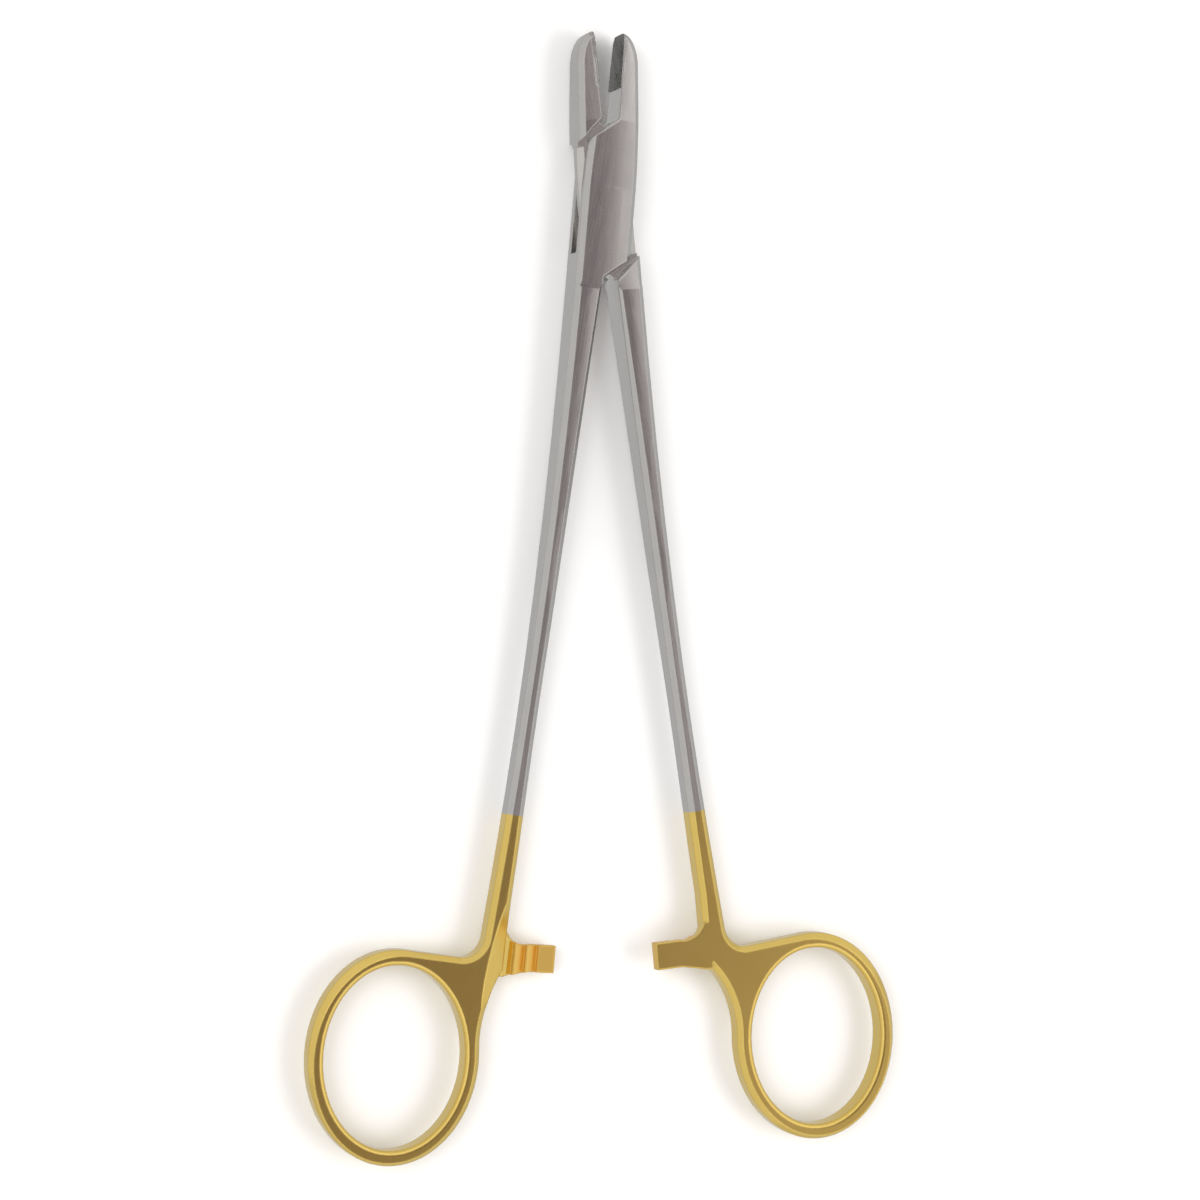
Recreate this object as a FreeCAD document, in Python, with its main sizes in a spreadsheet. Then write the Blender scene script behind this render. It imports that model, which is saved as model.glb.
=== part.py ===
import FreeCAD, Part
import math
import os
from FreeCAD import Placement, Rotation, Vector

# Surgical needle holder with a box lock, lying flat, in millimetres.
# +X is to the right, +Y runs to the jaw tips and +Z is up.
# The origin is on the pivot axis, at the underside of the box.
# Both arms are drawn closed, and each is then turned by half the opening angle.

SIZES = [
    # Box lock and its pin
    ("opening_angle", 10.5),
    ("box_thickness", 6.4),
    ("box_half_width", 4.4),
    ("box_side_length", 8.9),
    ("box_peak_length", 12.6),
    ("slot_height", 2.6),
    ("tongue_bevel", 1.3),
    ("tongue_slope", 0.6),
    ("tongue_end_gap", 0.3),
    ("running_clearance", 0.06),
    ("shoulder_clearance", 0.2),
    ("pin_diameter", 3.2),
    ("pin_clearance", 0.04),
    ("pin_head_diameter", 3.8),
    ("pin_head_depth", 0.6),
    # Jaws and their hard metal inserts
    ("flank_start", 2.0),
    ("flank_power", 1.5),
    ("jaw_length", 26.7),
    ("jaw_half_width", 3.2),
    ("jaw_nose_length", 6.2),
    ("jaw_tip_thickness", 5.0),
    ("jaw_relief", 0.35),
    ("crotch_radius", 0.8),
    ("shoulder_bevel", 0.3),
    ("insert_length", 8.7),
    ("insert_depth", 0.6),
    ("insert_gap", 0.05),
    # Shanks
    ("shank_start", 14.0),
    ("shank_length", 112.0),
    ("shank_end_offset", 9.0),
    ("shank_width", 2.5),
    ("shank_gap", 0.3),
    ("taper_length", 70.0),
    ("handle_thickness", 4.0),
    ("edge_bevel", 0.8),
    ("face_crown", 0.06),
    ("crown_fade", 0.9),
    ("neck_blend", 0.25),
    ("bevel_start", 0.5),
    ("bevel_blend", 0.25),
    # Finger rings
    ("ring_offset", 22.6),
    ("ring_drop", 25.1),
    ("ring_hole_width", 22.8),
    ("ring_hole_height", 28.7),
    ("ring_wall", 2.4),
    ("ring_tilt", 2.6),
    ("right_ring_shift", 1.2),
    ("web_dip", 0.7),
    ("web_angle", 4.0),
    ("neck_width", 3.2),
    ("neck_fillet", 3.6),
    ("hole_rounding", 0.7),
    # Ratchet bars and teeth
    ("ratchet_drop", 8.7),
    ("ratchet_height", 4.3),
    ("ratchet_reach", 2.75),
    ("ratchet_clearance", 0.1),
    ("ratchet_root", 2.2),
    ("tooth_count", 3),
    ("tooth_pitch", 2.0),
    ("tooth_depth", 0.75),
    ("tooth_share", 0.85),
    ("tooth_land", 2.85),
    ("facet_width", 3.2),
    ("facet_length", 19.0),
    ("facet_end_inset", 3.25),
]

# Facet sections: distance down the neck, inset, share of the width, lift over the bars
facet_steps = [(5.0, 2.2, 0.85, 0.2), (10.0, 3.1, 1.0, 0.0), (14.0, 3.5, 0.7, 0.6)]

# Angles round the oval nose and shares of the jaw's flank where sections are taken
nose_turns = (0, 17, 32, 45, 54, 61, 69, 77, 84)
flank_shares = (0.35, 0.7)
shank_stops = 7

# The nose's bevel stays narrower than the nose, and the bar's upper root is nearly round
nose_bevel_share = 0.9
root_roundness = 0.72

# Outlines that cut run this far past the metal, and points this near count as the same
margin = 1.0
nearby = 0.1
tiny = 1e-6

# A wall's normal is this level at most, and a flat face's normal this upright at least
wall_limit = 0.1
flat_limit = 0.9

doc = FreeCAD.newDocument("NeedleHolder")
sheet = doc.addObject("Spreadsheet::Sheet", "Sizes")
for row, (alias, value) in enumerate(SIZES, start=1):
    sheet.set(f"A{row}", alias)
    sheet.set(f"B{row}", str(value))
    sheet.setAlias(f"B{row}", alias)
doc.recompute()


def size(alias):
    """The value of a driving dimension."""
    return float(sheet.get(alias))


def origin_part(body, role):
    """One of a body's own origin planes or axes."""
    for feature in body.Origin.OriginFeatures:
        if feature.Role == role:
            return feature
    raise ValueError(role)


def sketch_on(body, role, name, lift=0.0):
    """An empty sketch, lifted off one of the body's own planes."""
    sketch = body.newObject("Sketcher::SketchObject", name)
    sketch.AttachmentSupport = (origin_part(body, role), [""])
    sketch.MapMode = "FlatFace"
    sketch.AttachmentOffset = Placement(Vector(0, 0, lift), Rotation())
    return sketch


def draw(sketch, start, steps):
    """Draw a closed outline; a step is a point, or (via, end) for an arc."""
    here = start
    for step in steps + [start]:
        if isinstance(step[0], tuple):
            via, end = step
            arc = Part.Arc(Vector(*here), Vector(*via), Vector(*end))
            sketch.addGeometry(arc, False)
            here = end
        elif math.dist(here, step) > tiny:
            sketch.addGeometry(Part.LineSegment(Vector(*here), Vector(*step)), False)
            here = step


def pad(body, sketch, name, length):
    """A pad whose length follows an expression of the sheet."""
    feature = body.newObject("PartDesign::Pad", name)
    feature.Profile = sketch
    feature.setExpression("Length", length)
    doc.recompute()


def pocket(body, sketch, name, length=None, midplane=False, reverse=False):
    """A pocket of a given length, or right through, that has to cut something."""
    before = body.Shape.Volume
    feature = body.newObject("PartDesign::Pocket", name)
    feature.Profile = sketch
    feature.Midplane = midplane
    feature.Reversed = reverse
    if length is None:
        feature.Type = "ThroughAll"
    else:
        feature.setExpression("Length", length)
    doc.recompute()
    if body.Shape.Volume >= before - tiny:
        raise RuntimeError(f"{name} cuts nothing")
    return feature


# Places that both arms share, for a jaw on the right and a shank on the left
half_width = size("box_half_width")
side_y = size("box_side_length")
peak_y = size("box_peak_length")
slope = (peak_y - side_y) / half_width
thickness = size("box_thickness")
mid_height = thickness / 2
bevel = size("edge_bevel")
tip_y = size("jaw_length")
nose_length = size("jaw_nose_length")
nose_y = tip_y - nose_length
insert_y = tip_y - size("insert_length")
root_y = -size("shank_start")
shank_y = -size("shank_length")
handle_top = mid_height + size("handle_thickness") / 2
ratchet_radius = size("shank_length") + size("ratchet_drop")


def shoulder_y(x, grow=0.0):
    """Height of the slanted shoulder line of the box, moved outwards by grow."""
    return peak_y - slope * abs(x) + grow * math.hypot(1, slope)


def outer_edge(y):
    """The shank's outer edge: it leaves the box straight and bows outwards."""
    share = (y - root_y) / (shank_y - root_y)
    return -half_width - (size("shank_end_offset") - half_width) * share ** 2


def shank_width(y):
    """Width of the shank, which narrows fast below the box and then hardly at all."""
    top = half_width - size("shank_gap") / 2
    share = min(1.0, (root_y - y) / size("taper_length"))
    slim = size("shank_width") + (top - size("shank_width")) * (1 - share) ** 2
    blend = size("neck_blend")
    below = max(0.0, (root_y - y) / (root_y - shank_y) - 1 + blend) / blend
    return slim + (size("neck_width") - size("shank_width")) * below


def shank_thickness(y):
    """Thickness of the shank, tapering evenly from the box to the handle."""
    share = min(1.0, (root_y - y) / size("taper_length"))
    return thickness + (size("handle_thickness") - thickness) * share


def mirrored(points, side):
    """The same outline, mirrored in X where side is -1."""
    flipped = []
    for step in points:
        if isinstance(step[0], tuple):
            flipped.append(tuple((side * x, y) for x, y in step))
        else:
            flipped.append((side * step[0], step[1]))
    return flipped


def section(body, name, side, y, edges, height, bevels, crowns):
    """A section across an arm at y: bevelled corners, and a face that may be crowned."""
    left, right = edges
    (left_x, left_z), (right_x, right_z) = bevels
    low = mid_height - height / 2
    high = mid_height + height / 2
    middle_x = (left + left_x + right - right_x) / 2
    half_flat = (right - right_x - left - left_x) / 2
    under, over = (crown * half_flat for crown in crowns)
    corners = mirrored([
        (left + left_x, low + under),
        ((middle_x, low), (right - right_x, low + under)) if under else (right - right_x, low),
        (right, low + under + right_z), (right, high - over - right_z),
        (right - right_x, high - over), ((middle_x, high), (left + left_x, high - over)),
        (left, high - over - left_z), (left, low + under + left_z),
    ], side)
    sketch = sketch_on(body, "XZ_Plane", name, -y)
    draw(sketch, corners[0], corners[1:])
    return sketch


def loft(body, name, sections, ruled=False):
    """A body through sections, smooth or with straight sides between them."""
    feature = body.newObject("PartDesign::AdditiveLoft", name)
    feature.Profile = sections[0]
    feature.Sections = sections[1:]
    feature.Ruled = ruled
    doc.recompute()
    return feature


def head_half_width(y):
    """Half the width of the closed jaws: tapered flanks and a rounded nose."""
    jaw_width = size("jaw_half_width")
    if y > nose_y:
        return jaw_width * math.sqrt(1 - ((y - nose_y) / nose_length) ** 2)
    start_y = size("flank_start")
    share = max(0.0, (y - start_y) / (nose_y - start_y))
    return half_width - (half_width - jaw_width) * share ** size("flank_power")


def add_head(body, label, side):
    """Box and both closed jaws as one bar, before the other arm's half is cut away."""
    flank_y = size("flank_start")
    stops = [root_y, flank_y]
    stops += [flank_y + (peak_y - flank_y) * share for share in (*flank_shares, 1)]
    stops += [peak_y + (nose_y - peak_y) * share for share in flank_shares]
    stops += [nose_y + nose_length * math.sin(math.radians(turn))
              for turn in nose_turns]
    stations = []
    for index, y in enumerate(stops):
        wide = head_half_width(y)
        along = max(0.0, (y - peak_y) / (tip_y - peak_y))
        drop = max(0.0, bevel - (tip_y - y))
        height = thickness - (thickness - size("jaw_tip_thickness")) * along - 2 * drop
        turn = math.asin(max(0.0, (y - nose_y) / nose_length))
        square = math.cos(turn) / size("jaw_half_width")
        lean = math.sin(turn) / nose_length
        reach = bevel * math.hypot(square, lean) / square
        corner = (min(reach, wide * nose_bevel_share), bevel - drop)
        stations.append(section(body, f"{label}Head{index}", side, y, (-wide, wide),
                                height, (corner, corner), (0.0, size("face_crown"))))
    loft(body, f"{label}Head", stations, ruled=True)


def lock_outline(grow=0.0):
    """The six-sided area where the arms cross, moved outwards by grow."""
    wide = half_width + margin
    low = shoulder_y(wide, grow)
    high = shoulder_y(0, grow)
    return [(wide, low), (0, high), (-wide, low), (-wide, -low), (0, -high), (wide, -low)]


def insert_box(side, grow=0.0):
    """The seat of the insert in the jaw, open towards the other jaw and the tip."""
    near_x = size("insert_gap") - grow
    far_x = size("insert_gap") + size("insert_depth")
    high_y = tip_y + grow
    corners = [(near_x, insert_y), (far_x, insert_y), (far_x, high_y), (near_x, high_y)]
    return mirrored(corners, side)


def rounded(before, corner, after, radius):
    """A corner of an outline, rounded: the arc's start, then its via and end points."""
    back = Vector(before[0] - corner[0], before[1] - corner[1], 0).normalize()
    ahead = Vector(after[0] - corner[0], after[1] - corner[1], 0).normalize()
    half = back.getAngle(ahead) / 2
    reach = radius / math.tan(half)
    axis = (back + ahead).normalize()
    via = axis * (radius / math.sin(half) - radius)
    start = (corner[0] + back.x * reach, corner[1] + back.y * reach)
    end = (corner[0] + ahead.x * reach, corner[1] + ahead.y * reach)
    return start, ((corner[0] + via.x, corner[1] + via.y), end)


def jaw_trim(shoulder_gap, grow=0.0):
    """Shoulder line, rounded crotch and relieved face of the jaw, moved outwards by grow."""
    beyond = half_width + margin
    relief_x = size("jaw_relief") + grow
    level = -shoulder_gap - grow
    outer = (-beyond, shoulder_y(beyond, level))
    crotch = (relief_x, shoulder_y(-relief_x, level) + 2 * relief_x * slope)
    start, arc = rounded(outer, crotch, (relief_x, insert_y), size("crotch_radius") + grow)
    return [outer, start, arc, (relief_x, insert_y)]


def throat_trim(shoulder_gap, grow=0.0):
    """The corner below the box on the other arm's side, its shoulder moved by grow."""
    beyond = half_width + margin
    gap = size("shank_gap") / 2
    level = -shoulder_gap - grow
    return [
        (beyond, -shoulder_y(beyond, level)),
        (-gap, -shoulder_y(gap, level) - 2 * gap * slope),
        (-gap, root_y - margin),
        (beyond, root_y - margin),
    ]


def trim_head(body, label, side, shoulder_gap):
    """Cut away the other arm's jaw above the box, and the corner below it."""
    face_x = size("insert_gap")
    top_y = tip_y + margin
    upper = jaw_trim(shoulder_gap)
    upper += [(face_x, insert_y), (face_x, top_y), (-half_width - margin, top_y)]
    for corners, name in ((upper, "JawTrim"), (throat_trim(shoulder_gap), "ThroatTrim")):
        flipped = mirrored(corners, side)
        sketch = sketch_on(body, "XY_Plane", f"{label}{name}Outline")
        draw(sketch, flipped[0], flipped[1:])
        pocket(body, sketch, f"{label}{name}", reverse=True)


def bevel_both_faces(body, corners, name):
    """Bevel both faces of the box along an outline drawn at the bevel's outer edge."""
    for lift, face in ((0.0, "Under"), (thickness, "Over")):
        sketch = sketch_on(body, "XY_Plane", f"{name}{face}Outline", lift)
        draw(sketch, corners[0], corners[1:])
        cut = pocket(body, sketch, f"{name}{face}", "Sizes.shoulder_bevel", reverse=lift == 0)
        cut.TaperAngle = -45
        doc.recompute()


def add_shank(body, label, side):
    """Shank with bevelled edges, from the box to the neck of the handle."""
    lean = 2 * (size("shank_end_offset") - half_width) / (root_y - shank_y)
    stations = []
    for index in range(shank_stops):
        share = index / (shank_stops - 1)
        y = root_y + (shank_y - root_y) * share
        left = outer_edge(y)
        grown = min(1.0, share / size("bevel_blend"))
        inner = bevel * (size("bevel_start") + (1 - size("bevel_start")) * grown)
        outer = bevel * math.hypot(1, lean * share)
        edges = (left, left + shank_width(y))
        crown = size("face_crown") * (1 - size("crown_fade") * share)
        stations.append(section(body, f"{label}Shank{index}", side, y, edges,
                                shank_thickness(y), ((outer, bevel), (inner, inner)),
                                (crown * share, crown)))
    loft(body, f"{label}Shank", stations)


def rim_edges(shape, wanted):
    """Edges between a flat face and a side wall whose middles are wanted."""
    names = []
    for index, edge in enumerate(shape.Edges, start=1):
        middle = edge.valueAt((edge.FirstParameter + edge.LastParameter) / 2)
        faces = shape.ancestorsOfType(edge, Part.Face)
        tilts = sorted(abs(face.normalAt(*face.Surface.parameter(middle)).z) for face in faces)
        if len(tilts) == 2 and tilts[0] < wall_limit and tilts[1] > flat_limit and wanted(middle):
            names.append(f"Edge{index}")
    return names


def dress(body, kind, name, edges, amount):
    """Bevel or round a body's edges by an expression of the sheet."""
    base = body.Tip
    feature = body.newObject(kind, name)
    feature.Base = (base, edges)
    feature.setExpression("Radius" if kind == "PartDesign::Fillet" else "Size", amount)
    doc.recompute()


def add_handle(body, label, side):
    """Neck, web and oval finger ring, bevelled outside and rounded in the hole."""
    tilt = math.radians(size("ring_tilt"))
    wall = size("ring_wall")
    wide = size("ring_hole_width") / 2 + wall
    high = size("ring_hole_height") / 2 + wall
    ring_x = -size("ring_offset") - (size("right_ring_shift") if side < 0 else 0)
    ring_y = shank_y - size("ring_drop")

    def on_rim(turn):
        """A point of the outer rim, and the direction of the rim there."""
        along, up = wide * math.cos(turn), high * math.sin(turn)
        point = (ring_x + along * math.cos(tilt) - up * math.sin(tilt),
                 ring_y + along * math.sin(tilt) + up * math.cos(tilt))
        across, rise = -wide * math.sin(turn), high * math.cos(turn)
        heading = (across * math.cos(tilt) - rise * math.sin(tilt),
                   across * math.sin(tilt) + rise * math.cos(tilt))
        return point, heading

    top, _ = on_rim(math.atan2(high * math.cos(tilt), wide * math.sin(tilt)))
    start, heading = on_rim(math.radians(size("web_angle")))
    end_x = outer_edge(shank_y)
    throat = (end_x + size("neck_width"), top[1] - wall)

    # Arc that leaves the rim along its tangent and ends in the throat
    dx, dy = throat[0] - start[0], throat[1] - start[1]
    length = math.hypot(*heading)
    normal = (heading[1] / length, -heading[0] / length)
    radius = (dx ** 2 + dy ** 2) / (2 * (normal[0] * dx + normal[1] * dy))
    centre = (start[0] + normal[0] * radius, start[1] + normal[1] * radius)
    chord = ((start[0] + throat[0]) / 2 - centre[0], (start[1] + throat[1]) / 2 - centre[1])
    reach = abs(radius) / math.hypot(*chord)
    waist = (centre[0] + chord[0] * reach, centre[1] + chord[1] * reach)

    # Fillet between the leaning outer edge of the neck and the top of the ring
    lean = 2 * (size("shank_end_offset") - half_width) / (root_y - shank_y)
    fillet = size("neck_fillet")
    stretch = math.hypot(1, lean)
    dip_y = top[1] - size("web_dip")
    hub_y = dip_y + fillet
    hub_x = end_x + lean * (hub_y - shank_y) - fillet * stretch
    neck = (hub_x + fillet / stretch, hub_y - fillet * lean / stretch)
    bend = fillet * math.sqrt(0.5)
    outline = mirrored([
        (end_x, shank_y),
        neck,
        ((hub_x + bend, hub_y - bend), (hub_x, dip_y)),
        top,
        (ring_x, ring_y),
        start,
        (waist, throat),
        (throat[0], shank_y),
    ], side)
    low_z = mid_height - size("handle_thickness") / 2
    web = sketch_on(body, "XY_Plane", f"{label}NeckOutline", low_z)
    draw(web, outline[0], outline[1:])
    pad(body, web, f"{label}Neck", "Sizes.handle_thickness")

    middle = Vector(side * ring_x, ring_y, 0)
    across = Vector(math.cos(tilt), side * math.sin(tilt), 0)
    upward = Vector(-side * math.sin(tilt), math.cos(tilt), 0)
    rim = sketch_on(body, "XY_Plane", f"{label}RimOutline", low_z)
    rim.addGeometry(Part.Ellipse(middle + upward * high, middle + across * wide, middle), False)
    pad(body, rim, f"{label}Ring", "Sizes.handle_thickness")
    edges = rim_edges(body.Tip.Shape, lambda point: point.y < shank_y - nearby)
    dress(body, "PartDesign::Chamfer", f"{label}Bevel", edges, "Sizes.edge_bevel")
    hole = sketch_on(body, "XY_Plane", f"{label}HoleOutline")
    hole.addGeometry(Part.Ellipse(middle + upward * (high - wall),
                                  middle + across * (wide - wall), middle), False)
    pocket(body, hole, f"{label}FingerHole", reverse=True)
    reach = max(high, wide) - wall + nearby
    edges = rim_edges(body.Tip.Shape,
                      lambda point: math.dist((point.x, point.y), (middle.x, middle.y)) < reach)
    dress(body, "PartDesign::Fillet", f"{label}Rounding", edges, "Sizes.hole_rounding")


def add_ratchet(body, label, side, above):
    """Ratchet bar, bent round the pivot, with its teeth towards the other bar."""
    half_gap = size("ratchet_clearance") / 2
    half_handle = size("handle_thickness") / 2
    near_z = mid_height + half_gap if above else mid_height - half_handle
    inner_r = ratchet_radius - size("ratchet_height") / 2
    outer_r = ratchet_radius + size("ratchet_height") / 2
    root_x = outer_edge(shank_y) + size("neck_width")
    inside_x = root_x - margin
    end_x = size("ratchet_reach")
    root = size("ratchet_root")
    flare_x = root_x + 2 * root

    def on(radius, x):
        return (x, -math.sqrt(radius ** 2 - x ** 2))

    top_y = on(inner_r, root_x)[1] + root
    low_y = on(outer_r, root_x)[1] - root / 2
    bar = sketch_on(body, "XY_Plane", f"{label}BarOutline", near_z)
    middle_x = (flare_x + end_x) / 2
    outline = mirrored([
        (inside_x, top_y),
        (root_x, top_y),
        ((root_x + root / 2, top_y - root * root_roundness), on(inner_r, flare_x)),
        (on(inner_r, middle_x), on(inner_r, end_x)),
        on(outer_r, end_x),
        (on(outer_r, middle_x), on(outer_r, flare_x)),
        (root_x, low_y),
        (inside_x, low_y),
    ], side)
    draw(bar, outline[0], outline[1:])
    pad(body, bar, f"{label}Bar", "(Sizes.handle_thickness - Sizes.ratchet_clearance) / 2")

    face_z = mid_height + half_gap if above else mid_height - half_gap
    deep_z = face_z + size("tooth_depth") * (1 if above else -1)
    wall_x = end_x - size("tooth_land")
    notch = sketch_on(body, "XZ_Plane", f"{label}NotchOutline", outer_r + margin)
    slope_x = wall_x - size("tooth_share") * size("tooth_pitch")
    corners = mirrored([(wall_x, face_z), (wall_x, deep_z), (slope_x, face_z)], side)
    draw(notch, corners[0], corners[1:])
    cut = pocket(body, notch, f"{label}Notch", f"Sizes.ratchet_height + {2 * margin}")
    teeth = body.newObject("PartDesign::PolarPattern", f"{label}Teeth")
    teeth.Originals = [cut]
    teeth.Axis = (origin_part(body, "Z_Axis"), [""])
    teeth.Reversed = side > 0
    teeth.setExpression("Occurrences", "Sizes.tooth_count")
    teeth.setExpression("Angle", "(Sizes.tooth_count - 1) * Sizes.tooth_pitch"
                                 " / (Sizes.shank_length + Sizes.ratchet_drop) * 180 / pi")
    body.Tip = teeth
    doc.recompute()


def add_facet(body):
    """The slope ground from the neck's face down to the lower ratchet bar."""
    face_z = mid_height - size("ratchet_clearance") / 2
    edge_z = handle_top - bevel
    neck_x = outer_edge(shank_y) + size("neck_width")
    full = size("facet_width")
    last = (shank_y - size("facet_length"), neck_x - size("facet_end_inset"), bevel, edge_z)
    stations = [(shank_y, neck_x - bevel, bevel, edge_z)]
    stations += [(shank_y - drop, neck_x - inset, full * share, face_z + lift)
                 for drop, inset, share, lift in facet_steps]
    stations.append(last)
    sketches = []
    for index, (y, left, wide, low_z) in enumerate(stations):
        facet = sketch_on(body, "XZ_Plane", f"Facet{index}", -y)
        beyond = left + full * 3
        above = handle_top + margin
        draw(facet, (left, handle_top), [(left + wide, low_z), (beyond, low_z),
                                         (beyond, above), (left, above)])
        sketches.append(facet)
    cut = body.newObject("PartDesign::SubtractiveLoft", "Facet")
    cut.Profile = sketches[0]
    cut.Sections = sketches[1:]
    doc.recompute()


def pin_profile(sketch):
    """Half section of the riveted pin, head to head."""
    shaft = size("pin_diameter") / 2
    head = size("pin_head_diameter") / 2
    depth = size("pin_head_depth")
    top = size("box_thickness")
    draw(sketch, (0, 0), [(head, 0), (shaft, depth), (shaft, top - depth), (head, top), (0, top)])


def turn_about_pivot(body, kind, name):
    """Revolve or groove the pin's half section round the pivot axis."""
    sketch = sketch_on(body, "XZ_Plane", f"{name}Profile")
    pin_profile(sketch)
    feature = body.newObject(kind, name)
    feature.Profile = sketch
    feature.ReferenceAxis = (origin_part(body, "Z_Axis"), [""])
    feature.Angle = 360
    doc.recompute()
    return feature


def open_out(body, sign):
    """Turn a finished piece to its place with the jaws open."""
    body.Placement = Placement(Vector(0, 0, 0), Rotation(Vector(0, 0, 1), 1))
    body.setExpression("Placement.Rotation.Angle", f"{sign} * Sizes.opening_angle / 2 * 1 deg")


def make_arm(label, side, shoulder_gap):
    """One forged arm in the closed position: jaw to the side given, ring to the other."""
    body = doc.addObject("PartDesign::Body", label)
    body.Label = label
    add_handle(body, label, side)
    add_shank(body, label, side)
    add_head(body, label, side)
    trim_head(body, label, side, shoulder_gap)
    seat = sketch_on(body, "XY_Plane", f"{label}SeatOutline")
    corners = insert_box(side, grow=margin)
    draw(seat, corners[0], corners[1:])
    pocket(body, seat, f"{label}InsertSeat", reverse=True)
    return body


# Box arm: right jaw, slotted box, left shank and ring, lower ratchet bar
box_arm = make_arm("box_arm", 1, 0.0)
slot = sketch_on(box_arm, "XY_Plane", "SlotOutline", mid_height)
draw(slot, lock_outline()[0], lock_outline()[1:])
pocket(box_arm, slot, "Slot", "Sizes.slot_height", midplane=True)
shoulder_bevel = size("shoulder_bevel")
crotch_bevel = jaw_trim(0.0, shoulder_bevel) + [(-half_width - margin, insert_y)]
bevel_both_faces(box_arm, crotch_bevel, "CrotchBevel")
bevel_both_faces(box_arm, throat_trim(0.0, shoulder_bevel), "ThroatBevel")
turn_about_pivot(box_arm, "PartDesign::Groove", "PinHole")
add_facet(box_arm)
add_ratchet(box_arm, "box_arm", 1, above=False)

# Through arm: left jaw, tongue in the slot, right shank and ring, upper ratchet bar
through_arm = make_arm("through_arm", -1, size("shoulder_clearance"))
recess = lock_outline(size("shoulder_clearance"))
cheek = "(Sizes.box_thickness - Sizes.slot_height) / 2 + Sizes.running_clearance"
upper = sketch_on(through_arm, "XY_Plane", "UpperRecessOutline", thickness)
draw(upper, recess[0], recess[1:])
pocket(through_arm, upper, "UpperRecess", cheek)
lower = sketch_on(through_arm, "XY_Plane", "LowerRecessOutline")
draw(lower, recess[0], recess[1:])
pocket(through_arm, lower, "LowerRecess", cheek, reverse=True)
rims = lock_outline(size("shoulder_clearance") + shoulder_bevel)
bevel_both_faces(through_arm, rims, "RimBevel")
tongue = size("slot_height") / 2 - size("running_clearance")
reach = shoulder_y(half_width) - size("tongue_end_gap")
for side in (-1, 1):
    for up in (-1, 1):
        name = f"Flank{'Low' if up < 0 else 'High'}{'Left' if side < 0 else 'Right'}"
        flank = sketch_on(through_arm, "XZ_Plane", f"{name}Outline", reach)
        inner_x = half_width - size("tongue_bevel")
        outer_x = half_width + margin
        slope_z = tongue * size("tongue_slope") / size("tongue_bevel")
        draw(flank, (side * inner_x, mid_height + up * tongue), [
            (side * outer_x, mid_height + up * (tongue - slope_z * (outer_x - inner_x))),
            (side * outer_x, mid_height + up * (tongue + margin)),
            (side * inner_x, mid_height + up * (tongue + margin))])
        pocket(through_arm, flank, name, f"{2 * reach}")
pin_hole = sketch_on(through_arm, "XY_Plane", "RunningHoleOutline")
pin_hole.addGeometry(Part.Circle(Vector(0, 0, 0), Vector(0, 0, 1),
                                 size("pin_diameter") / 2 + size("pin_clearance")), False)
pocket(through_arm, pin_hole, "RunningHole", reverse=True)
add_ratchet(through_arm, "through_arm", -1, above=True)

# Hard metal inserts, brazed in and ground to the form of the jaw
inserts = []
for label, side in (("right_jaw_insert", 1), ("left_jaw_insert", -1)):
    insert = doc.addObject("PartDesign::Body", label)
    insert.Label = label
    add_head(insert, label, side)
    waste = sketch_on(insert, "XY_Plane", f"{label}WasteOutline")
    kept = insert_box(side)
    wide = half_width + margin
    top_y = tip_y + margin
    low_y = root_y - margin
    frame = [(-wide, low_y), (wide, low_y), (wide, top_y), (-wide, top_y)]
    draw(waste, frame[0], frame[1:])
    draw(waste, kept[0], kept[1:])
    pocket(insert, waste, f"{label}Trim", reverse=True)
    inserts.append(insert)

# Riveted pivot pin, flush with both sides of the box
pivot_pin = doc.addObject("PartDesign::Body", "pivot_pin")
pivot_pin.Label = "pivot_pin"
turn_about_pivot(pivot_pin, "PartDesign::Revolution", "Pin")

# The box arm's pieces turn one way and the through arm's the other
for piece in (box_arm, inserts[0], pivot_pin):
    open_out(piece, -1)
for piece in (through_arm, inserts[1]):
    open_out(piece, 1)
doc.recompute()

pieces = [box_arm, through_arm, *inserts, pivot_pin]
for item in doc.Objects:
    if "Invalid" in item.State or "Error" in item.State:
        raise RuntimeError(f"{item.Name} failed: {item.State}")
os.makedirs("parts", exist_ok=True)
for piece in pieces:
    if piece.Shape.isNull() or not piece.Shape.isValid() or len(piece.Shape.Solids) != 1:
        raise RuntimeError(f"{piece.Label} is not one sound solid")
    piece.Shape.exportStep(f"parts/{piece.Label}.step")
    print(piece.Label, round(piece.Shape.Volume, 2), piece.Shape.BoundBox)
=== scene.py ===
import math
import bmesh
import bpy
from mathutils import Matrix, Vector


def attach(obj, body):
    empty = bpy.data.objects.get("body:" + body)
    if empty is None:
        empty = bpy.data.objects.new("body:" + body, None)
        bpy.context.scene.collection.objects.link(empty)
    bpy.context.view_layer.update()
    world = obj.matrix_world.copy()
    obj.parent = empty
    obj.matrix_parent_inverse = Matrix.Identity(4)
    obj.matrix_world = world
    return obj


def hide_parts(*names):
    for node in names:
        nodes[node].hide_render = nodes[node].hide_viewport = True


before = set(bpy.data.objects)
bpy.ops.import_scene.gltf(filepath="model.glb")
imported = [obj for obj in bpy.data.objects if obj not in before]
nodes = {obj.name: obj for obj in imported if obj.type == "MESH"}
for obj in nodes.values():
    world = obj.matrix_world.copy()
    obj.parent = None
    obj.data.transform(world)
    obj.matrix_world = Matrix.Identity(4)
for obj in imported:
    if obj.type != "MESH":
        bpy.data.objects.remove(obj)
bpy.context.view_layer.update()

# Camera: the instrument was photographed flat on a table from half a metre above,
# about twenty degrees over to the side of the left ring.
view_tilt = math.radians(20)
view_distance = 0.5
aim = Vector((-0.00068, -0.06349, 0.0032))
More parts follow.
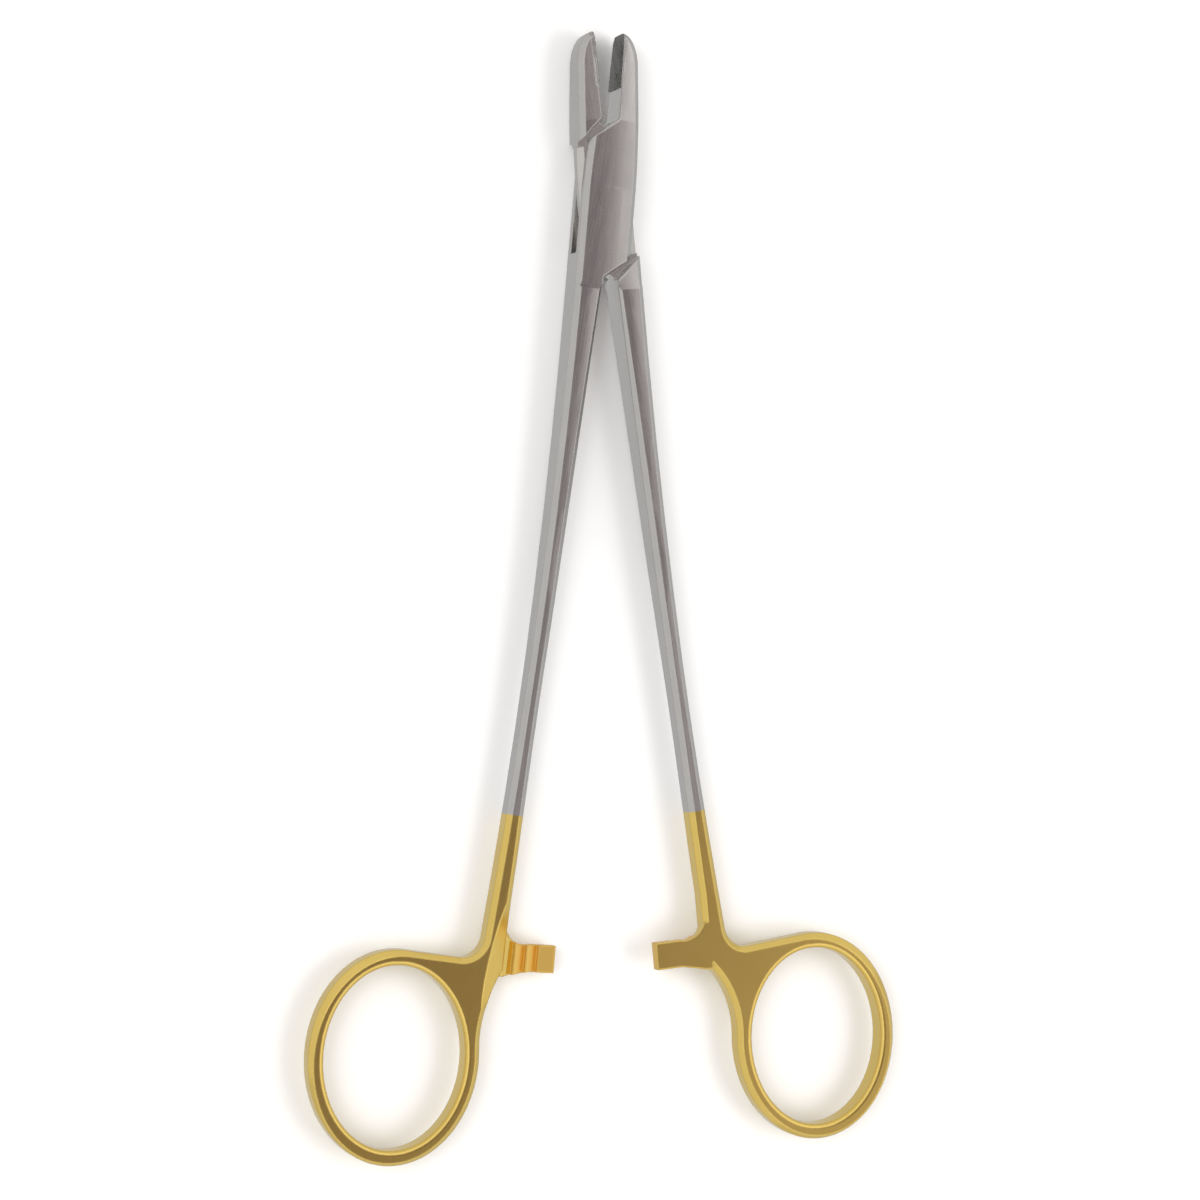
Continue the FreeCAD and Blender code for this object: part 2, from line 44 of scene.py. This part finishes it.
camera_data = bpy.data.cameras.new("table_camera")
camera_data.sensor_width = 36
camera_data.lens = 94.3
camera_data.clip_start = 0.01
camera_data.clip_end = 20
table_camera = bpy.data.objects.new("table_camera", camera_data)
bpy.context.scene.collection.objects.link(table_camera)
towards_camera = Vector((-math.sin(view_tilt), 0, math.cos(view_tilt)))
table_camera.location = aim + view_distance * towards_camera
table_camera.rotation_euler = (0, -view_tilt, 0)
bpy.context.scene.camera = table_camera

# Floor: a plain white table top that the instrument lies on, wide enough to fill the
# picture from any side and to show in the polished steel.
table_width = 6
table_middle = (0, -0.06, 0)
table_pale = (0.89, 0.89, 0.89, 1)
table_white = (0.93, 0.93, 0.93, 1)
mirrored_strength = 0.62
bpy.ops.object.select_all(action="DESELECT")
bpy.ops.mesh.primitive_plane_add(size=table_width, location=table_middle)
table_top = bpy.context.object
table_top.name = "table_top"
table_paint = bpy.data.materials.new("white_table_paint")
table_paint.use_nodes = True
nodes_of = table_paint.node_tree.nodes
links_of = table_paint.node_tree.links
paint = nodes_of["Principled BSDF"]
paint.inputs["Roughness"].default_value = 0.8
paint.inputs["Specular IOR Level"].default_value = 0.1
place = nodes_of.new("ShaderNodeTexCoord")
cloud = nodes_of.new("ShaderNodeTexNoise")
cloud.inputs["Scale"].default_value = 3
links_of.new(place.outputs["Object"], cloud.inputs["Vector"])
tint = nodes_of.new("ShaderNodeValToRGB")
tint.color_ramp.elements[0].color = table_pale
tint.color_ramp.elements[1].color = table_white
links_of.new(cloud.outputs["Fac"], tint.inputs["Fac"])
links_of.new(tint.outputs["Color"], paint.inputs["Base Color"])
ray = nodes_of.new("ShaderNodeLightPath")
mirrored_white = nodes_of.new("ShaderNodeEmission")
mirrored_white.inputs["Color"].default_value = (1, 1, 1, 1)
mirrored_white.inputs["Strength"].default_value = mirrored_strength
seen_in_metal = nodes_of.new("ShaderNodeMixShader")
links_of.new(ray.outputs["Is Glossy Ray"], seen_in_metal.inputs[0])
links_of.new(paint.outputs["BSDF"], seen_in_metal.inputs[1])
links_of.new(mirrored_white.outputs["Emission"], seen_in_metal.inputs[2])
table_surface = nodes_of["Material Output"].inputs["Surface"]
links_of.new(seen_in_metal.outputs["Shader"], table_surface)
table_top.data.materials.append(table_paint)

# Studio: a soft room, dim overhead with a bright ring round that patch, so that flat steel
# shows grey and its ground edges show light. Two softboxes light the table.
dim_patch_middle = Vector((0.1, 0, 0))
room_strength = 1.5
softbox_power = 7
softbox_size = 0.9
room = bpy.data.worlds.new("soft_room")
room.use_nodes = True
bpy.context.scene.world = room
sky_nodes = room.node_tree.nodes
sky_links = room.node_tree.links
sky_place = sky_nodes.new("ShaderNodeTexCoord")
overhead = sky_nodes.new("ShaderNodeVectorMath")
overhead.operation = "MULTIPLY_ADD"
overhead.inputs[1].default_value = (1, 1, 0)
overhead.inputs[2].default_value = -dim_patch_middle
sky_links.new(sky_place.outputs["Generated"], overhead.inputs[0])
off_centre = sky_nodes.new("ShaderNodeVectorMath")
off_centre.operation = "LENGTH"
sky_links.new(overhead.outputs["Vector"], off_centre.inputs[0])
sky_ramp = sky_nodes.new("ShaderNodeValToRGB")
stops = sky_ramp.color_ramp.elements
stops[0].position, stops[0].color = 0.0, (0.095, 0.080, 0.082, 1)
stops[1].position, stops[1].color = 1.0, (0.500, 0.497, 0.485, 1)
for stop_place, stop_colour in (
    (0.10, (0.110, 0.093, 0.096, 1)),
    (0.24, (0.165, 0.141, 0.146, 1)),
    (0.36, (0.330, 0.300, 0.300, 1)),
    (0.48, (0.620, 0.600, 0.590, 1)),
    (0.58, (0.900, 0.890, 0.860, 1)),
    (0.68, (0.640, 0.630, 0.615, 1)),
    (0.80, (0.520, 0.515, 0.500, 1)),
):
    stops.new(stop_place).color = stop_colour
sky_links.new(off_centre.outputs["Value"], sky_ramp.inputs["Fac"])
sky_links.new(sky_ramp.outputs["Color"], sky_nodes["Background"].inputs["Color"])
sky_nodes["Background"].inputs["Strength"].default_value = room_strength
for lamp_name, lamp_place in (
    ("left_softbox", (-0.9, 0.1, 0.75)),
    ("right_softbox", (0.9, -0.3, 0.75)),
):
    lamp_data = bpy.data.lights.new(lamp_name, "AREA")
    lamp_data.energy = softbox_power
    lamp_data.size = softbox_size
    lamp = bpy.data.objects.new(lamp_name, lamp_data)
    bpy.context.scene.collection.objects.link(lamp)
    lamp.location = lamp_place
    lamp.rotation_euler = (aim - Vector(lamp_place)).to_track_quat("-Z", "Y").to_euler()
    lamp.visible_glossy = False
bpy.context.scene.view_settings.view_transform = "Standard"

# Arms: two stainless forgings, ground to a satin finish. The finger rings and the lower end
# of each shank are dipped in gold to a sharp line square across the shank.
steel_shades = ((0.56, 0.545, 0.54, 1), (0.63, 0.615, 0.60, 1))
steel_scratch = (0.48, 0.46, 0.455, 1)
steel_scratched = (0.4, 0.75, 0.0, 0.3)
steel_roughness = (0.3, 0.7, 0.2, 0.3)
steel_wear = 0.00025
gold_shades = ((0.85, 0.61, 0.16, 1), (0.91, 0.67, 0.205, 1))
gold_scratch = (0.76, 0.50, 0.10, 1)
gold_scratched = (0.45, 0.8, 0.0, 0.2)
gold_roughness = (0.3, 0.7, 0.12, 0.19)
gold_wear = 0.00042
milled_gold = (0.93, 0.62, 0.165, 1)
milled_roughness = 0.4
grain_noise = (5000, 4, 0.6)
grain_stretch = 0.03
grain_depth = 0.00001
grain_strength = 0.2
patch_noise = (220, 3, 0.55)
speckle_noise = (5500, 2, 0.6)
speckle_share = 0.35
half_opening = 5.25
plating_reach = 0.0985
plating_lean = 9.9
plating_blur = 0.00004
face_radius = 0.03
face_height = (0.00614, 0.00616)
pin_zone = (0.0026, 0.003)
shank_root = 0.014
root_band = (0.0004, 0.0005)
bar_start = (-0.1165, -0.117)
bar_root = (-0.0043, -0.0038)
bar_top = (0.00512, 0.00516)


def add_noise(tree, vector, scale, detail, roughness):
    """A noise pattern on the given coordinates."""
    noise = tree.nodes.new("ShaderNodeTexNoise")
    noise.inputs["Scale"].default_value = scale
    noise.inputs["Detail"].default_value = detail
    noise.inputs["Roughness"].default_value = roughness
    tree.links.new(vector, noise.inputs["Vector"])
    return noise.outputs["Fac"]


def spread(tree, value, low, high, to_low, to_high):
    """A pattern's range stretched to another range."""
    span = tree.nodes.new("ShaderNodeMapRange")
    ends = {"From Min": low, "From Max": high, "To Min": to_low, "To Max": to_high}
    for name, number in ends.items():
        span.inputs[name].default_value = number
    tree.links.new(value, span.inputs["Value"])
    return span.outputs["Result"]


def mix_two(tree, kind, share, first, second):
    """Two values of one kind, or patterns, mixed by a share."""
    mix = tree.nodes.new("ShaderNodeMix")
    mix.data_type = kind
    for name, value in (("Factor", share), ("A", first), ("B", second)):
        socket = [s for s in mix.inputs if s.name == name and s.enabled][0]
        if isinstance(value, (tuple, float)):
            socket.default_value = value
        else:
            tree.links.new(value, socket)
    return [s for s in mix.outputs if s.enabled][0]


def mix_colour(tree, share, first, second):
    """Two colours, or patterns, mixed by a share."""
    return mix_two(tree, "RGBA", share, first, second)


def mix_number(tree, share, first, second):
    """Two numbers, or patterns, mixed by a share."""
    return mix_two(tree, "FLOAT", share, first, second)


def closed_pose(tree, place, side):
    """Coordinates turned as if the jaws were closed, whole and by axis."""
    closed = tree.nodes.new("ShaderNodeMapping")
    closed.inputs["Rotation"].default_value = (0, 0, math.radians(side * half_opening))
    tree.links.new(place.outputs["Object"], closed.inputs["Vector"])
    axes = tree.nodes.new("ShaderNodeSeparateXYZ")
    tree.links.new(closed.outputs["Vector"], axes.inputs["Vector"])
    return closed.outputs["Vector"], axes.outputs


def satin_steel(name, side, plated):
    """Ground stainless steel with its grain along the arm, gold beyond the plating line."""
    material = bpy.data.materials.new(name)
    material.use_nodes = True
    tree = material.node_tree
    shader = tree.nodes["Principled BSDF"]
    shader.inputs["Metallic"].default_value = 1.0
    place = tree.nodes.new("ShaderNodeTexCoord")
    along = tree.nodes.new("ShaderNodeMapping")
    along.inputs["Rotation"].default_value = (0, 0, math.radians(side * plating_lean))
    tree.links.new(place.outputs["Object"], along.inputs["Vector"])
    stretched = tree.nodes.new("ShaderNodeMapping")
    stretched.inputs["Scale"].default_value = (1, grain_stretch, 1)
    tree.links.new(along.outputs["Vector"], stretched.inputs["Vector"])
    grain = add_noise(tree, stretched.outputs["Vector"], *grain_noise)
    patches = add_noise(tree, place.outputs["Object"], *patch_noise)
    speckle = add_noise(tree, place.outputs["Object"], *speckle_noise)
    closed, closed_axes = closed_pose(tree, place, side)

    # Ground steel, a little darker and rougher in the scratches
    steel = mix_colour(tree, patches, *steel_shades)
    scratched = spread(tree, grain, *steel_scratched)
    colour = mix_colour(tree, scratched, steel, steel_scratch)
    rough = spread(tree, grain, *steel_roughness)
    if plated:
        # Gold beyond the plating line, and a duller milled finish on the ratchet bar
        axes = tree.nodes.new("ShaderNodeSeparateXYZ")
        tree.links.new(along.outputs["Vector"], axes.inputs["Vector"])
        line = (-plating_reach - plating_blur, -plating_reach + plating_blur)
        gold_share = spread(tree, axes.outputs["Y"], *line, 1.0, 0.0)
        gold = mix_colour(tree, patches, *gold_shades)
        scratched = spread(tree, grain, *gold_scratched)
        gold = mix_colour(tree, scratched, gold, gold_scratch)
        colour = mix_colour(tree, gold_share, colour, gold)
        gold_rough = spread(tree, grain, *gold_roughness)
        rough = mix_number(tree, gold_share, rough, gold_rough)
        ends = (side * bar_root[0], side * bar_root[1])
        beyond_root = spread(tree, closed_axes["X"], *ends, 0.0, 1.0)
        below_top = spread(tree, closed_axes["Z"], *bar_top, 1.0, 0.0)
        on_bar = spread(tree, closed_axes["Y"], *bar_start, 0.0, 1.0)
        milled = mix_number(tree, on_bar, 0.0, mix_number(tree, below_top, 0.0, beyond_root))
        colour = mix_colour(tree, milled, colour, milled_gold)
        rough = mix_number(tree, milled, rough, milled_roughness)
        wear = mix_number(tree, gold_share, steel_wear, gold_wear)
    tree.links.new(colour, shader.inputs["Base Color"])
    tree.links.new(rough, shader.inputs["Roughness"])

    # Worn edges, and the faces of box, pin and shank ground together to one gentle curve
    bump = tree.nodes.new("ShaderNodeBump")
    bump.inputs["Strength"].default_value = grain_strength
    bump.inputs["Distance"].default_value = grain_depth
    relief = mix_colour(tree, speckle_share, grain, speckle)
    tree.links.new(relief, bump.inputs["Height"])
    curve = tree.nodes.new("ShaderNodeMapping")
    curve.inputs["Location"].default_value = (0, 0, 1)
    curve.inputs["Scale"].default_value = (1 / face_radius, 0, 0)
    tree.links.new(closed, curve.inputs["Vector"])
    ground_face = tree.nodes.new("ShaderNodeVectorMath")
    ground_face.operation = "NORMALIZE"
    tree.links.new(curve.outputs["Vector"], ground_face.inputs[0])
    on_top = spread(tree, closed_axes["Z"], *face_height, 0.0, 1.0)
    if plated:
        worn = tree.nodes.new("ShaderNodeBevel")
        worn.samples = 6
        from_pivot = tree.nodes.new("ShaderNodeVectorMath")
        from_pivot.operation = "LENGTH"
        flat_place = tree.nodes.new("ShaderNodeMapping")
        flat_place.inputs["Scale"].default_value = (1, 1, 0)
        tree.links.new(place.outputs["Object"], flat_place.inputs["Vector"])
        tree.links.new(flat_place.outputs["Vector"], from_pivot.inputs[0])
        near_pin = spread(tree, from_pivot.outputs["Value"], *pin_zone, 1.0, 0.0)
        tree.links.new(mix_number(tree, near_pin, wear, 0.0), worn.inputs["Radius"])
        inner, outer = root_band
        upper = (-shank_root + inner, -shank_root + outer)
        lower = (-shank_root - outer, -shank_root - inner)
        above = spread(tree, closed_axes["Y"], *upper, 1.0, 0.0)
        below = spread(tree, closed_axes["Y"], *lower, 0.0, 1.0)
        at_root = mix_number(tree, above, 0.0, mix_number(tree, below, 0.0, on_top))
        normal = mix_colour(tree, at_root, worn.outputs["Normal"], ground_face.outputs["Vector"])
    else:
        smooth = tree.nodes.new("ShaderNodeNewGeometry")
        normal = mix_colour(tree, on_top, smooth.outputs["Normal"], ground_face.outputs["Vector"])
    tree.links.new(normal, bump.inputs["Normal"])
    tree.links.new(bump.outputs["Normal"], shader.inputs["Normal"])
    return material


def finish_node(name, material):
    """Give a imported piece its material."""
    piece = nodes[name]
    piece.data.materials.clear()
    piece.data.materials.append(material)


finish_node("box_arm", satin_steel("box_arm_steel", 1, plated=True))
finish_node("through_arm", satin_steel("through_arm_steel", -1, plated=True))

# Pivot pin: a steel rivet, set in the box and ground flush with it, so that only a faint
# ring shows where its heads end.
finish_node("pivot_pin", satin_steel("pivot_pin_steel", 1, plated=False))

# Jaw inserts: plates of dark hard metal, brazed into the jaws. Two crossed sets of fine
# grooves are cut in the gripping face, and leave rows of small pyramids that hold a needle.
groove_pitch = 0.0005
groove_depth = 0.0001
groove_rows = 21
face_gap = 0.00005
insert_middle = 0.0224
mid_height = 0.0032
dark_shades = ((0.17, 0.168, 0.16, 1), (0.33, 0.325, 0.315, 1))
bright_shades = ((0.44, 0.43, 0.425, 1), (0.54, 0.53, 0.52, 1))
crumb_noise = (4000, 4, 0.7)
crumb_depth = 0.00002
crumb_strength = 0.3
cut_roughness = (0.3, 0.7, 0.38, 0.5)
flush_roughness = (0.3, 0.7, 0.24, 0.32)
same_place = 1e-6
same_plane = 0.999
flat_turn = math.radians(0.2)
crisp_turn = math.radians(15)


def hard_metal(name, side):
    """Hard metal, bright where it is ground flush with the jaw and dark on its cut face."""
    material = bpy.data.materials.new(name)
    material.use_nodes = True
    tree = material.node_tree
    shader = tree.nodes["Principled BSDF"]
    shader.inputs["Metallic"].default_value = 1.0
    place = tree.nodes.new("ShaderNodeTexCoord")
    axes = closed_pose(tree, place, side)[1]
    cut_end = face_gap + 1.2 * groove_depth
    ground_start = cut_end + 0.3 * groove_depth
    ground = spread(tree, axes["X"], side * cut_end, side * ground_start, 0.0, 1.0)
    crumbs = add_noise(tree, place.outputs["Object"], *crumb_noise)
    dark = mix_colour(tree, crumbs, *dark_shades)
    bright = mix_colour(tree, crumbs, *bright_shades)
    tree.links.new(mix_colour(tree, ground, dark, bright), shader.inputs["Base Color"])
    dull = spread(tree, crumbs, *cut_roughness)
    satin = spread(tree, crumbs, *flush_roughness)
    tree.links.new(mix_number(tree, ground, dull, satin), shader.inputs["Roughness"])
    bump = tree.nodes.new("ShaderNodeBump")
    bump.inputs["Strength"].default_value = crumb_strength
    bump.inputs["Distance"].default_value = crumb_depth
    tree.links.new(crumbs, bump.inputs["Height"])
    tree.links.new(bump.outputs["Normal"], shader.inputs["Normal"])
    return material


def select_gripping_face(mesh, outward, face_middle):
    """Select only what lies in the plane of the gripping face."""
    edit = bmesh.from_edit_mesh(mesh)
    for part in (*edit.verts, *edit.edges, *edit.faces):
        part.select = False
    for face in edit.faces:
        off_plane = abs((face.verts[0].co - face_middle).dot(outward))
        if face.normal.dot(outward) > same_plane and off_plane < same_place:
            face.select = True
    edit.select_flush_mode()
    bmesh.update_edit_mesh(mesh)
    return edit


def cross_cut(name, side, body):
    """The insert again, with crossed grooves cut in its gripping face."""
    piece = bpy.data.objects.new(f"cross_cut_{name}", nodes[name].data.copy())
    bpy.context.scene.collection.objects.link(piece)
    bpy.ops.object.select_all(action="DESELECT")
    piece.select_set(True)
    bpy.context.view_layer.objects.active = piece
    turn = Matrix.Rotation(math.radians(-side * half_opening), 3, "Z")
    outward = turn @ Vector((-side, 0, 0))
    along = turn @ Vector((0, 1, 0))
    face_middle = turn @ Vector((side * face_gap, insert_middle, mid_height))
    bpy.ops.object.mode_set(mode="EDIT")
    bpy.ops.mesh.select_mode(type="FACE")
    bpy.ops.mesh.select_all(action="SELECT")
    bpy.ops.mesh.remove_doubles(threshold=same_place)
    bpy.ops.mesh.dissolve_limited(angle_limit=flat_turn)
    step = groove_pitch / 2
    across = [(along + Vector((0, 0, lean))).normalized() for lean in (1, -1)]
    for plane_no in across:
        for count in range(-groove_rows, groove_rows + 1):
            select_gripping_face(piece.data, outward, face_middle)
            line_place = face_middle + plane_no * step * count
            bpy.ops.mesh.bisect(plane_co=line_place, plane_no=plane_no)
    edit = select_gripping_face(piece.data, outward, face_middle)
    for corner in [v for v in edit.verts if v.select]:
        waves = [((corner.co - face_middle).dot(plane_no) / step) % 2 for plane_no in across]
        depth = groove_depth * max(1 - abs(wave - 1) for wave in waves)
        corner.co -= outward * depth
    bmesh.update_edit_mesh(piece.data)
    bpy.ops.mesh.select_all(action="SELECT")
    bpy.ops.mesh.quads_convert_to_tris(quad_method="LONGEST_DIAGONAL")
    bpy.ops.object.mode_set(mode="OBJECT")
    bpy.ops.object.shade_smooth_by_angle(angle=crisp_turn)
    piece.data.materials.clear()
    piece.data.materials.append(hard_metal(f"{name}_metal", side))
    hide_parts(name)
    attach(piece, body)


cross_cut("right_jaw_insert", 1, "box_body")
cross_cut("left_jaw_insert", -1, "through_body")
